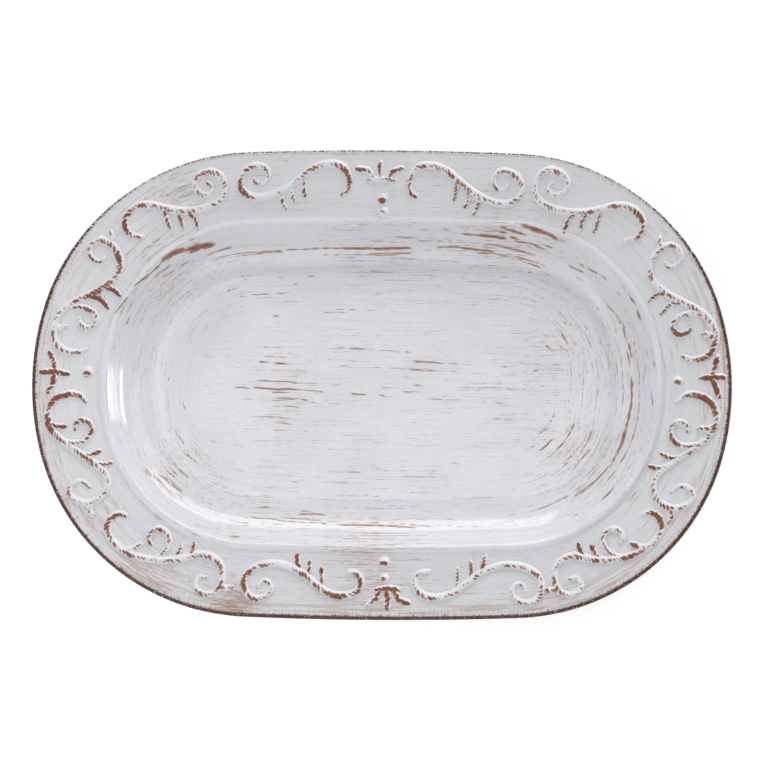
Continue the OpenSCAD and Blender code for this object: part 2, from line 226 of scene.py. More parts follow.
class Shader:
    """A node material built by small calls."""

    def __init__(self, name):
        self.material = bpy.data.materials.new(name)
        self.material.use_nodes = True
        self.tree = self.material.node_tree
        self.bsdf = self.tree.nodes["Principled BSDF"]

    def node(self, kind, inputs=(), **settings):
        node = self.tree.nodes.new(kind)
        for key, value in settings.items():
            setattr(node, key, value)
        for key, value in dict(inputs).items():
            self.set(node.inputs[key], value)
        return node

    def set(self, socket, value):
        if isinstance(value, bpy.types.NodeSocket):
            self.tree.links.new(value, socket)
        else:
            socket.default_value = value

    def attribute(self, name, output="Fac"):
        return self.node("ShaderNodeAttribute", attribute_name=name).outputs[output]

    def math(self, operation, *values):
        return self.node("ShaderNodeMath", dict(enumerate(values)), operation=operation).outputs[0]

    def add(self, a, b):
        return self.math("ADD", a, b)

    def less(self, a, b):
        return self.math("SUBTRACT", a, b)

    def times(self, a, b):
        return self.math("MULTIPLY", a, b)

    def ramp(self, value, low, high):
        """0 below low, 1 above high, smooth between."""
        node = self.node("ShaderNodeMapRange", {"Value": value, "From Min": low, "From Max": high},
                         interpolation_type="SMOOTHSTEP")
        return node.outputs["Result"]

    def noise(self, vector, scales, detail=2.0, roughness=0.5):
        """Noise with a scale of its own along each axis."""
        stretched = self.node("ShaderNodeVectorMath", {0: vector, 1: scales}, operation="MULTIPLY").outputs[0]
        inputs = {"Vector": stretched, "Scale": 1.0, "Detail": detail, "Roughness": roughness}
        return self.node("ShaderNodeTexNoise", inputs).outputs["Fac"]

    def mix(self, factor, a, b):
        """A colour between a and b."""
        return self.node("ShaderNodeMix", {0: factor, 6: a, 7: b}, data_type="RGBA").outputs[2]

    def blend(self, factor, a, b):
        """A number between a and b."""
        return self.node("ShaderNodeMix", {0: factor, 2: a, 3: b}, data_type="FLOAT").outputs[0]

    def bump(self, height, distance, strength=1.0, normal=None):
        inputs = {"Height": height, "Distance": distance, "Strength": strength}
        if normal is not None:
            inputs["Normal"] = normal
        return self.node("ShaderNodeBump", inputs).outputs["Normal"]

    def finish(self, colour, roughness, normal=None):
        for name, value in (("Base Color", colour), ("Roughness", roughness), ("Normal", normal)):
            if value is not None:
                self.set(self.bsdf.inputs[name], value)
        self.bsdf.inputs["IOR"].default_value = GLASS_IOR
        return self.material


# ---- Materials ----
WHITE = (0.80, 0.80, 0.845, 1)
COOL_WHITE = (0.765, 0.77, 0.805, 1)
# Painted shade: a greyer white that darkens the flange against the well.
FLANGE_PAINTED_SHADE = (0.69, 0.705, 0.728, 1)
TAN = (0.42, 0.225, 0.14, 1)
BROWN = (0.20, 0.064, 0.034, 1)
DARK_BROWN = (0.050, 0.017, 0.011, 1)
CREAM = (0.80, 0.78, 0.76, 1)
BISQUE = (0.66, 0.58, 0.48, 1)
DARK_GRIT = (0.52, 0.42, 0.32, 1)
PALE_CLAY = (0.74, 0.69, 0.60, 1)


# Insets, from the outline, between which each part of the glaze comes in.
STRAIGHT_STREAKS = (92.0, 108.0)
# Painted shade greys the flange up to the well's lip, where the white of the well starts as a painted bright
# line.
FLANGE_SHADE_INSETS = (43.5, 41.0)
RIM_HAZE = (26.0, 1.0)
HATCH_REACH = (11.0, 3.0)
TICK_ZONE, TICK_REACH = (6.0, 4.0), (4.2, 1.7)
# The clay shows where the grain passes a threshold, which wear lowers.
GRAIN_THRESHOLD, WEAR_GAIN = 0.697, 0.51
FAINT_STRENGTH = 0.10
LIGHT_STRENGTH, STROKE_STRENGTH = 0.42, 0.58


def glaze_material():
    """White glaze brushed along the oval, with brown clay showing where it is thin."""
    s = Shader("glaze")
    brush = s.attribute("brush", "Vector")
    place = s.node("ShaderNodeTexCoord").outputs["Object"]
    wear = s.attribute("wear")
    bareness_and_highlight = s.attribute("bareness_and_highlight")
    inset = s.node("ShaderNodeSeparateXYZ", {0: brush}).outputs["Z"]
    central = s.ramp(inset, *STRAIGHT_STREAKS)

    def streaks(round_scales, straight_scales, detail, roughness):
        """Streaks follow the oval, and lie straight along the platter in its middle."""
        return s.blend(central, s.noise(brush, round_scales, detail, roughness),
                       s.noise(place, straight_scales, detail, roughness))

    long_streaks = streaks((0.022, 0.022, 1.25), (22.0, 1300.0, 10.0), 2.0, 0.55)
    short_streaks = streaks((0.16, 0.16, 2.3), (160.0, 2300.0, 10.0), 3.0, 0.6)
    grain = s.add(s.times(long_streaks, 0.50), s.times(short_streaks, 0.50))
    over = s.less(grain, s.less(GRAIN_THRESHOLD, s.times(wear, WEAR_GAIN)))
    worn = s.ramp(over, 0.0, 0.05)
    faint = s.times(s.ramp(over, -0.10, -0.01), FAINT_STRENGTH)

    # Ticks left by the milling run in from the rim, with a paler hatching past them.
    teeth = s.noise(brush, (1.9, 1.9, 0.16), 2.0, 0.6)
    reach = s.times(s.ramp(inset, *TICK_REACH), bareness_and_highlight)
    tick = s.ramp(s.add(teeth, s.times(reach, 0.26)), 0.66, 0.80)
    tick = s.times(tick, s.ramp(inset, *TICK_ZONE))
    hatch = s.noise(brush, (1.5, 1.5, 0.06), 1.0, 0.5)
    hatch = s.times(s.ramp(hatch, 0.50, 0.72), s.times(s.ramp(inset, *HATCH_REACH), 0.22))
    tick = s.math("MAXIMUM", tick, s.times(hatch, bareness_and_highlight))

    patches = s.noise(place, (26.0, 26.0, 26.0), 3.0, 0.55)
    base = s.mix(s.ramp(patches, 0.35, 0.65), COOL_WHITE, WHITE)
    # Painted shade: the flange is greyed, while the lip and the well keep the whiter glaze, which paints a
    # bright line at the lip.
    base = s.mix(s.ramp(inset, *FLANGE_SHADE_INSETS), base, FLANGE_PAINTED_SHADE)
    haze = s.noise(brush, (0.035, 0.035, 0.75), 3.0, 0.6)
    haze = s.times(s.ramp(haze, 0.45, 0.68), s.times(s.ramp(inset, *RIM_HAZE), bareness_and_highlight))
    base = s.mix(s.times(haze, 0.62), base, TAN)

    stain = s.mix(s.ramp(s.add(short_streaks, s.times(wear, 0.22)), 0.52, 0.86), TAN, BROWN)
    strength = s.add(LIGHT_STRENGTH, s.times(s.ramp(wear, 0.0, 0.95), STROKE_STRENGTH))
    opacity = s.times(worn, strength)
    colour = s.mix(s.math("MAXIMUM", opacity, faint), base, stain)
    colour = s.mix(tick, colour, DARK_BROWN)
    roughness = s.add(0.12, s.times(opacity, 0.25))

    ripple = streaks((0.05, 0.05, 0.9), (50.0, 900.0, 10.0), 2.0, 0.5)
    normal = s.bump(s.noise(place, (22.0, 22.0, 22.0), 1.0, 0.4), 0.0010)
    normal = s.bump(ripple, 0.00005, 1.0, normal)
    normal = s.bump(worn, 0.00006, 0.6, normal)
    return s.finish(colour, roughness, normal)


# What adds up to the wear of a crest, less what a notch keeps white.
NOTCH_WHITE, COARSE_PATCHES, FINE_PATCHES, RUB_GAIN = 0.65, 2.1, 0.8, 0.75


def relief_material():
    """The same glaze, rubbed back to brown on the crests and pooled white in the notches; the brown is set to
    the front and left of each crest, where it paints shade as well as wear.
    """
    s = Shader("relief_glaze")
    along = s.attribute("along", "Vector")
    crest = s.attribute("crest")
    notch = s.attribute("notch")
    rub = s.attribute("rub")
    coarse = s.noise(along, (0.15, 0.22, 5.0), 3.0, 0.65)
    fine = s.noise(along, (0.9, 0.55, 5.0), 2.0, 0.6)
    height = s.less(crest, s.times(notch, NOTCH_WHITE))
    amount = s.add(height, s.add(s.times(coarse, COARSE_PATCHES), s.times(fine, FINE_PATCHES)))
    amount = s.add(amount, s.times(rub, RUB_GAIN))
    worn = s.ramp(amount, 2.22, 2.46)
    dark = s.ramp(amount, 2.30, 2.80)
    colour = s.mix(worn, WHITE, s.mix(dark, TAN, BROWN))
    roughness = s.add(0.17, s.times(worn, 0.28))
    return s.finish(colour, roughness, s.bump(fine, 0.00008, 0.5))


def rim_material():
    """Dark brown milled band, with paler glaze caught between its teeth, and cream over the outer face at the
    back as a painted highlight.
    """
    s = Shader("brown_edge")
    brush = s.attribute("brush", "Vector")
    tooth = s.attribute("tooth")
    bareness_and_highlight = s.attribute("bareness_and_highlight")
    mottle = s.noise(brush, (0.5, 0.5, 0.8), 3.0, 0.6)
    specks = s.noise(brush, (1.6, 1.6, 0.5), 2.0, 0.6)
    stain = s.mix(s.ramp(mottle, 0.40, 0.75), DARK_BROWN, BROWN)
    # Cream where the teeth hold glaze, and over the outer face at the back as a painted highlight.
    caught_glaze_and_highlight = s.ramp(s.less(specks, s.times(bareness_and_highlight, 0.50)), 0.12, 0.24)
    colour = s.mix(caught_glaze_and_highlight, stain, CREAM)
    normal = s.bump(mottle, 0.0001, 0.6)
    return s.finish(colour, s.add(0.38, s.times(tooth, 0.1)), normal)


def foot_material():
    """Bare fired clay."""
    s = Shader("bare_foot")
    place = s.node("ShaderNodeTexCoord").outputs["Object"]
    grit = s.noise(place, (900.0, 900.0, 900.0), 4.0, 0.7)
    cloud = s.noise(place, (40.0, 40.0, 40.0), 2.0, 0.5)
    colour = s.mix(s.ramp(grit, 0.3, 0.7), DARK_GRIT, BISQUE)
    colour = s.mix(s.times(cloud, 0.35), colour, PALE_CLAY)
    return s.finish(colour, 0.85, s.bump(grit, 0.0002, 0.6))


# ---- Strokes where brown shows through the glaze ----
# [half width,strength, x,y, x,y, ...], each point as it is seen against the plane of the rim. Half width and
# strength are written in hundredths.
STROKES = [
    # the back left of the well
    [60,90, -154,59, -150,62, -140,70.5, -136,75], [150,100, -136.5,75, -129,80, -122,82],
    [160,105, -121.5,81.5, -115,83.6, -105,85.2], [90,80, -120,79.8, -113,82.5],
    [50,90, -109,78.5, -102,81.5, -94,83.5], [50,75, -108,75.3, -98,78, -85,80.2, -60,82.3],
    [50,80, -107,73.8, -97,77, -85,78.6, -70,80.5, -60,81], [40,50, -103,62, -95,64.5, -85,65.5, -80,66],
    [45,75, -97,56.2, -88.5,58.3], [45,75, -91,52, -85,53],
    [40,50, -101.5,37.5, -97,39.8, -92,41.3, -87,42.5], [55,75, -110.3,31.2, -108.2,33.4],
    [45,60, -107,7.4, -100,6.5], [40,50, -99,21.6, -92,21], [50,65, -165.8,17.5, -165.3,26],
    [110,60, -158.2,34.5, -156,40], [50,80, -158,42.5, -154.5,49], [80,85, -165,41.5, -160,49, -157.5,52.5],
    [50,60, -163.5,40.5, -158,48], [80,70, -161.5,52.5, -159.5,50.5], [60,90, -155,58.5, -153.3,62],
    [50,50, -156,53, -154,58], [60,65, -141,64, -137,68, -130,72.5], [50,55, -139,66.5, -131,73],
    [80,60, -137,63.5, -131.5,67.5, -128,70], [50,60, -126,71.5, -118.5,75.5],
    [45,60, -149,81, -142,86.5, -135,91], [40,50, -126,94.4, -120.5,95.5], [50,60, -122,87.4, -111,89.5],
    [45,50, -119,84.8, -112,87.5], [45,75, -131.6,5, -131.6,-2],
    # the back wall
    [60,85, -60,82.2, -40,83, -25,83.2], [85,100, -26,83.2, -10,83.3, 0,83.2, 18,83.8],
    [45,65, -79,75.2, -72,75.6, -64,76], [40,55, -90,73.8, -85,74], [45,55, -60,78, -52,78.3],
    [40,60, -38,79, -20,79.2, 0,79.2], [60,75, -8,80.1, 0,80.1, 18,80.6], [70,60, -1,76.9, 20,77.2],
    [50,70, -5,78.8, 8,79.2], [45,55, -71,95.2, -66,95.3], [50,60, -14.5,90, -12,90],
    [45,65, -9,87.3, -3,88, 10,87.4], [45,60, -90,65.3, -80,66], [50,65, -87,63.4, -80.5,64],
    [50,65, -69,64.9, -60,65], [45,80, -46.5,65.5, -39,65.8], [45,80, -15.3,66, -9,66.2],
    [45,65, -8,69, 0,68.5, 10,68.3], [50,60, 11,68.4, 13.3,68.4], [45,85, -58.5,60.5, -51.7,60.8],
    [45,80, -81,53.7, -69,54.5], [40,75, -65,54.7, -55,55], [45,60, -61.3,50, -59,50],
    [50,65, -67.5,44.3, -65,44.3], [55,80, -68,40.5, -63.3,40.6], [45,50, -39,45, -34,45],
    [45,70, -29,44.7, -22,45, -16,45], [40,70, -39,43, -20,43.3], [45,55, -17,43, -10,43],
    [40,60, -11,44.5, 9.5,44.1], [50,60, 18,84, 27,85], [50,100, 31,84.3, 42,84.5, 50,84],
    [70,100, 49,84, 60,82.8, 70,81.8], [40,55, 28,82.5, 58,82], [60,85, 58,81, 68,80.8],
    [60,65, 69,80.5, 80,78.5], [60,70, 12,90.3, 20,91], [45,60, 21,88.5, 40,88.5, 50,88],
    [40,50, 52,87.4, 61,87], [50,80, 61,86.5, 70,86.1], [50,95, 70,86, 78,84, 90,81.2],
    [45,80, 25,95.7, 31,95.7], [50,80, 36,95.4, 44,95.6], [50,55, 50,95.2, 55,95.8], [70,55, 62,94, 72,94.7],
    [50,100, 49,92.6, 60,92], [80,100, 59,92, 70,91, 78,89.6], [60,65, 60,92.8, 80,91.2],
    [70,105, 79,91.2, 86,89.1], [60,105, 73,98.4, 78,95.6, 86,93.4, 88,92], [55,100, 72,95, 76.7,93],
    [50,75, 84,97.6, 87.5,95.4], [120,105, 86,99.2, 92,96.6], [150,105, 91,97.2, 100,94],
    [90,105, 99,94.2, 104,92.4, 109,89], [60,70, 109,89, 114,88], [50,85, 84,94.2, 88,92.4],
    [80,75, 82,88.2, 90,87.3, 97,85.5], [50,65, 80,84.6, 86,84.6], [45,75, 95,88.3, 104,84.8, 110,82.3],
    [50,75, 93,86, 105,82], [50,60, 100,86, 113,81], [50,90, 89,81.3, 97,79], [45,60, 97,79, 101,77.4],
    [70,65, 75,79.5, 83,78.6], [50,85, 82,79, 90,76.6, 100.5,73], [50,55, 78,76, 84,76.5],
    [50,95, 84,77, 92,74, 100,71.2], [50,85, 90,69.1, 93.5,68], [45,70, 90,69.8, 100,66.6],
    # the back right corner
    [100,65, 115,73, 120,71, 126,68.6], [50,90, 122,74.5, 129,70.5, 134,67.8, 139,64],
    [40,70, 118,71.3, 125,69.3], [45,75, 120,65.9, 124,63.7], [50,75, 128,67.3, 130,65.7],
    [60,65, 116.5,83.4, 118,82.6], [45,60, 126,77, 127.5,76], [50,65, 134,74.3, 135.5,73.5],
    [50,60, 114.7,77.9, 115.7,77], [40,50, 113,59.2, 120,55], [45,50, 143.5,58.7, 150,50.2],
    [50,90, 134,55, 139.5,49, 143.5,43], [80,70, 138,50, 143.5,43.3], [70,60, 143.5,43, 148.7,36],
    [80,70, 148.7,36.5, 150.3,28], [50,60, 150,29, 152,24], [55,100, 152,25, 153.2,20, 154,15.3],
    [50,85, 150.5,21, 152.3,15, 153.5,9], [80,90, 153.5,4, 154,-2, 153.5,-12, 151.8,-22, 149.8,-29],
    [50,95, 152.5,54, 157,49.3], [50,60, 141,52, 144,50], [80,85, 157.5,44.7, 159.4,40],
    [50,60, 155.3,34.2, 156.6,32.4], [40,55, 150,40.3, 153,35], [40,65, 155,28, 157.3,17, 158.3,8, 158.5,-5],
    [50,65, 132.5,47.6, 134.5,44.5], [45,55, 140,33, 144,27.3], [40,50, 145,25, 147,18],
    [40,65, 147,18, 148.3,8, 148.7,-5, 147.9,-15], [40,65, 143.5,18, 144.7,10, 145,5],
    [45,60, 131,17, 132.5,8], [50,65, 167.4,12.2, 168,10], [45,75, 110,39, 114,36.8, 116.5,36.4],
    [45,85, 110.5,31.3, 112.8,27, 115,23], [45,65, 111,30, 117,27], [45,100, 100,24, 103,21.5, 106,19.8],
    [45,60, 106,20, 112,14], [45,70, 108.5,23, 114,20.3, 118,18.6], [40,50, 115.3,15, 116.4,8],
    [50,85, 116.3,8, 117,4], [45,75, 92.5,11.4, 98,11.9], [45,60, 83,12.2, 92,11.1],
    [40,60, 85,6.6, 93,7.6, 101,8.2], [40,60, 93,6.3, 100,6.8],
    # the middle of the floor
    [40,55, -76,21, -58,20.2], [40,75, -27,21.2, -19,20.4], [50,95, -19.5,20.5, -9,19.9],
    [40,70, -9,19.9, 0,19.4, 10,19], [40,75, 0,19.4, 18,18.4], [45,60, 21.5,18, 25,17.7],
    [40,65, 70,16.2, 75,15.7], [45,70, -73,15.4, -58,14.8], [40,50, -90,16, -73,15.4],
    [45,70, -24,13.1, -17,12.8], [65,100, -76.5,12.1, -70,11.5], [65,95, -67,11.1, -58.3,10.7],
    [45,70, -30,10.1, -19,9.3], [40,55, -5,9, 0,8.6, 11,8.2], [45,55, -68,7.2, -50,6.2, -30,5],
    [40,50, -67,7.8, -62,7.4], [45,90, -57,2.7, -49.5,2.5], [40,65, 33,25.7, 40.3,25.7],
    [65,80, 19,12.8, 28,12.3, 36,11.9], [45,70, 34,11.5, 50,11.3], [50,80, 11,7.9, 20,7.5, 33,6.8],
    [40,60, 33,6.7, 48,6.2, 61,5.9], [40,50, 61,5.6, 67,5], [45,75, 71,4.6, 86,4.7],
    [45,65, 70,9.8, 80,9.8, 84,10.7], [45,55, 82,11.8, 87,12], [50,80, 80,34.8, 83.2,32.9],
    [50,95, -91.5,-3.8, -86,-4.2, -81,-4.8], [65,105, -79,-4.1, -70,-4.8, -62,-5.1, -53,-5.1],
    [45,90, -77,-3.8, -72,-4.4], [50,75, -53,-5.2, -45,-5.8, -35,-6.6], [45,95, -78,0.4, -66,0, -54,-0.4],
    [60,95, -58,-0.6, -53,-0.9], [40,55, -54,-0.8, -30,-2, -10,-3], [50,100, -67.5,-6.7, -57,-7],
    [35,50, -57,-7.2, -43,-8], [55,75, -53.5,-9.1, -51,-9.2], [50,60, -49,-9.5, -46.5,-9.7],
    [50,85, -67.5,-10.7, -58,-11.1, -52,-11.2], [60,80, -50.5,-11.4, -45,-12],
    [45,70, -67.5,-12.3, -55,-12.4], [45,75, -52,-12.7, -40,-13], [40,50, -40,-13.4, -28,-14, -18,-14.8],
    [60,70, -67,-16, -60,-15.3, -50,-16.3], [45,50, -50,-16, -40,-17], [60,60, -28.3,-17.4, -26,-17.8],
    [45,75, -77.5,-22.4, -70,-22.2, -60,-22.6], [40,60, -62,-22.4, -57,-23.2],
    [45,80, -67.5,-25.6, -55.5,-26], [40,55, -68,-30.4, -58,-30.7], [40,60, -64,-30.6, -50,-30.9, -43,-31.3],
    [40,55, -40,-7, -35,-7], [55,90, -19,-7.7, -10,-8.4], [60,85, -2,-8.4, 3,-9], [40,50, 3,-9.2, 14,-9.6],
    [45,60, 16,-9.2, 20,-9.4], [60,65, 20,-9.2, 22,-9.2], [50,85, 24,-10.3, 27,-10.8],
    [50,80, 28,-10.6, 39,-10.9], [45,60, 40,-11.3, 49,-10.9], [50,75, 60,-11.3, 65,-11.4],
    [45,55, 60,-13, 66,-13], [50,75, 70,-13, 75,-13.1], [40,55, 0,-1.3, 12,-1.7, 25,-2.2],
    [50,75, 19,-2.1, 26,-2.3], [45,65, 45,-3.2, 55,-3], [40,50, 55,-3, 68,-3.3, 75,-4],
    [45,70, 75,-4.3, 85,-4.4, 90,-3.8], [45,55, 90,-3.7, 102,-1.8], [45,55, 0,-4, 6,-4.1],
    [50,70, 12.5,-6.4, 20,-6.6, 26,-7], [45,60, 16,-25, 23,-25.7], [45,50, 68.5,-22.5, 76,-22.9],
    [50,60, 75,-23, 82,-23], [45,55, 75,-24, 81,-24.7], [45,75, 42,-50.2, 50,-50.3],
    [40,50, 97,-6.7, 102,-6.8],
    # the front of the floor and the front wall
    [45,60, -106.8,-37, -101,-38.4], [40,50, -101,-38.5, -92,-39.6, -85,-40.2], [50,75, -90.5,-40, -88,-40.2],
    [50,75, -86.5,-40.8, -84,-41.2], [50,65, -58,-43.5, -53,-44.6], [40,50, -60,-55.3, -54,-56],
    [50,80, -56,-62, -53,-62.8, -49,-63], [45,65, -20.5,-56, -13,-56.3],
    [40,50, -19,-51.1, -8,-51.3, 0,-52.2], [40,50, -8,-54.9, 0,-54.9, 6,-55.3],
    [45,55, -12.5,-70.2, -8,-70.3, 0,-71], [50,80, -75,-77.9, -69,-78], [45,75, -79,-79.9, -73,-79.9],
    [45,80, -79,-84.6, -70,-85, -60,-86.2, -51,-87, -40,-87.5, -33,-87.8], [45,65, -90,-86.9, -80,-87.8],
    [45,85, -51.5,-80.1, -45,-80.4, -40,-80.6], [50,95, -51.5,-81.9, -40,-82, -32,-82.7],
    [45,60, -32,-82.8, -20,-83.6, -2,-84], [60,65, -62,-84, -50,-85, -35,-86], [45,75, -8,-87, 0,-87],
    [60,90, -28,-88.4, -10,-88.6, 0,-88.8, 8,-89.2, 20,-90], [40,55, -35,-86.3, -8,-87],
    [40,60, -85,-96.2, -95,-95.3], [50,85, -93,-95.8, -86,-96.6], [45,50, -25,-97.2, -18,-97.2],
    [50,55, 2,-97.1, 8,-97.1], [45,55, 16,-97.3, 26,-97.2], [45,60, 0,-84, 8,-84.2],
    [45,65, 0,-86.9, 10,-87.3, 22,-88.3], [70,60, 25,-88.6, 30,-88.8], [45,60, 40,-84.8, 46,-84.8],
    [40,50, 38,-86.3, 50,-85.9], [40,50, 30,-88.2, 50,-88.6, 60,-88],
    [45,55, 64,-84.9, 73,-83.7, 78,-82.3, 90,-80.2], [45,60, 70,-86.6, 76,-86.2, 82,-85.2],
    [45,55, 75,-67, 83,-66], [60,55, 2,-101, 10,-101], [50,50, 85,-104, 90,-103],
    # the front left corner
    [45,55, -162,-12, -161,-19], [45,80, -122.5,-13, -121.2,-17, -120,-20], [50,70, -130.2,-23, -128.8,-27.5],
    [50,80, -128,-29.5, -125,-34.5, -121,-39.8], [40,60, -133,-14, -132,-17],
    [40,50, -135.3,-18.5, -134.4,-23.5], [45,60, -128.8,-7.5, -128.5,-12], [40,60, -141.5,-11, -140.8,-16],
    [50,80, -121.7,-44, -117,-48, -112,-51.2], [35,50, -112,-51.2, -106,-55, -100,-57],
    [40,50, -120,-40, -113,-45, -108,-49], [40,50, -121,-41.5, -114,-47.5],
    [50,75, -129,-50.5, -123,-56, -117,-61], [50,85, -130.5,-53, -124,-60], [50,75, -133.5,-54.5, -125,-61],
    [70,65, -146,-54, -138,-60.5, -132,-65.5], [60,60, -146,-56, -140,-61],
    [50,80, -135,-60, -130,-61.5, -125,-66, -121,-69], [50,65, -137,-57.5, -128,-65, -122,-69.5],
    [50,55, -133,-66, -126,-70, -120,-73.5], [40,60, -120,-70, -115.5,-72.5], [50,50, -124,-62, -118,-66],
    [50,60, -115.5,-89, -112,-90], [50,60, -107,-94, -105,-94.4], [50,70, -118,-93.5, -113,-95.5, -111,-96.5],
    # the front right corner
    [50,70, 165.8,-5, 166.5,-10], [60,80, 166.7,-8, 166.5,-15], [80,80, 150,-28, 149,-34, 146.5,-40],
    [110,85, 149.3,-30, 147.5,-37, 143.5,-45], [70,95, 143.5,-45, 141,-50],
    [50,80, 141,-50, 137,-54.5, 132,-59.5, 125,-65.5, 118,-70.5], [45,70, 118,-71.3, 116,-74],
    [45,70, 133,-52, 126,-60, 116,-68.5, 108,-73.3, 100,-76.8, 90,-80.2],
    [40,55, 158.4,-5, 158,-18, 155,-31, 151.5,-41], [50,75, 155,-31, 151.8,-40, 147.5,-48, 143,-55, 138,-61],
    [45,60, 131,-59, 137,-52], [55,95, 143,-63, 139.5,-68, 134.5,-72.5], [45,60, 146,-58.5, 143,-63],
    [50,65, 151.5,-50.5, 151,-53.5], [40,50, 155,-43, 151.5,-50], [45,55, 163,-24, 162.5,-29],
    [45,65, 133,-20, 131,-26], [45,70, 132.5,-2, 132.5,-10, 131,-18], [40,60, 131,-24, 128.5,-33, 124,-40],
    [50,65, 129,-29, 126.5,-36, 123,-42], [50,70, 129,-37, 126,-43, 120,-50], [50,85, 128,-40.5, 122,-48.5],
    [50,85, 118.5,-25, 116.5,-30, 113.5,-34.5], [55,90, 114,-34, 110.5,-38.5, 107,-41.5],
    [45,70, 107,-41.5, 102.5,-45], [50,95, 105,-34.7, 100,-40, 95.5,-43], [45,75, 97,-37.5, 90,-41.3],
    [40,50, 90,-41.3, 85,-43.5], [50,75, 106.5,-17, 105,-22, 102,-26.5], [50,75, 102,-27, 99,-30, 95.5,-33],
    [40,55, 109.2,-5, 108,-12, 106.5,-18], [40,55, 116.3,2, 116,-5, 114.7,-14], [45,60, 113.5,-21, 113,-24],
    [80,60, 118,-44, 113,-49], [60,70, 115,-48, 111,-52], [45,65, 106,-56.5, 102.5,-59],
    [45,60, 148.7,-5, 148,-15], [45,60, 147,-30, 144,-36], [60,65, 137.3,-38.5, 137,-40.5],
    [45,50, 122,-12, 121,-20], [50,65, 121,-80, 115,-85], [60,60, 125,-79.5, 122,-81],
    [40,50, 122,-76.5, 113,-83], [45,65, 157,-66.5, 152,-71.5, 147,-76.5], [40,50, 145,-78.5, 139,-84.5],
]
# Places where the glaze is thin all over, [x, y, radius, how much].
THIN_PLACES = [
    [-128, -58, 26, 0.13], [-132, 70, 30, 0.13], [-55, -10, 40, 0.07], [75, 88, 40, 0.11],
    [0, 84, 40, 0.07], [145, 20, 30, 0.09], [138, -52, 34, 0.11], [105, -35, 26, 0.09],
    [-80, -86, 40, 0.08], [10, -90, 50, 0.08], [60, 5, 40, 0.06], [110, 25, 24, 0.10],
    [-88, -138, 14, 0.30], [-140, -122, 22, 0.20], [-130, 124, 20, 0.18], [-8, -112, 24, 0.14],
    [213, 35, 12, 0.25], [-172, -82, 12, 0.15],
]


BARE_LEVEL = 0.18  # wear of the top where there is no stroke
UNDER_WEAR = 0.05
EDGE_BLUR = 0.10  # added to a stroke's half width
STROKE_MARGIN = 3.0  # how far from its line a stroke is worked out
BLUNTNESS, TAPER = 0.55, 4  # strength at a stroke's tip, and the length over which it grows
SETTLING_STEPS = 8


def on_surface(x, y):
    """The point of the platter's top that is seen behind each point of the rim's plane."""
    ax, ay = np.array(x, float), np.array(y, float)
    for _ in range(SETTLING_STEPS):
        reach = (EYE.z - top_z(inset_and_arc(ax, ay)[0])) / (EYE.z - RIM_Z)
        ax, ay = EYE.x + (x - EYE.x) * reach, EYE.y + (y - EYE.y) * reach
    return ax, ay


def wear_field(x, y):
    """How thin the glaze is at each point, from the strokes above."""
    wear = np.full(len(x), BARE_LEVEL)
    for px, py, radius, extra in THIN_PLACES:
        wear += extra * np.exp(-((x - px) ** 2 + (y - py) ** 2) / radius**2)
    for half_width, strength, *places in STROKES:
        knots = np.array(places, float).reshape(-1, 2)
        line, length = curve_points(knots)
        line = np.stack(on_surface(line[:, 0], line[:, 1]), -1)
        line, length = line[::3], length[::3]
        (left, front), (right, back) = line.min(0) - STROKE_MARGIN, line.max(0) + STROKE_MARGIN
        near = np.flatnonzero((x > left) & (x < right) & (y > front) & (y < back))
        gap = np.hypot(x[near, None] - line[None, :, 0], y[near, None] - line[None, :, 1])
        nearest = gap.argmin(1)
        from_end = np.minimum(length[nearest], length[-1] - length[nearest])
        fade = np.clip(BLUNTNESS + from_end / TAPER, 0, 1)
        across = np.exp(-(gap.min(1) / (half_width / 100 + EDGE_BLUR)) ** 2)
        wear[near] = np.maximum(wear[near], strength / 100 * across * fade)
    return wear


# ---- Platter body ----
COLUMNS = 360
CORE_INSET = 130.0  # inside this the rows close on a line
CORE_ROWS = 24
WELL_ROWS = 160
FLANGE_END, WELL_START = 37, 37.5
UNDER_WALL = (66, 38)  # insets of the curved part of the underside


def body_rows():
    """[inset, height, closing] of each row, from the underside's middle round to the top's middle."""
    closing = np.linspace(1, 0, CORE_ROWS + 1)[:-1]
    wall_in, wall_out = UNDER_WALL
    under = np.concatenate([np.arange(CORE_INSET, wall_in, -8), np.arange(wall_in, wall_out, -1.0),
                            np.arange(wall_out, EDGE_WIDTH, -3.0), [EDGE_WIDTH]])
    flange = np.arange(EDGE_WIDTH, FLANGE_END, 1.5)
    well = np.linspace(WELL_START, CORE_INSET, WELL_ROWS)
    rows = [(CORE_INSET, FLOOR_BOTTOM, c) for c in closing[::4]]
    rows += [(t, under_z(t), 0) for t in under]
    rows += [(t, top_z(t), 0) for t in (*flange, *well)]
    rows += [(CORE_INSET, FLOOR_TOP, c) for c in closing[::-1]]
    return np.array(rows)


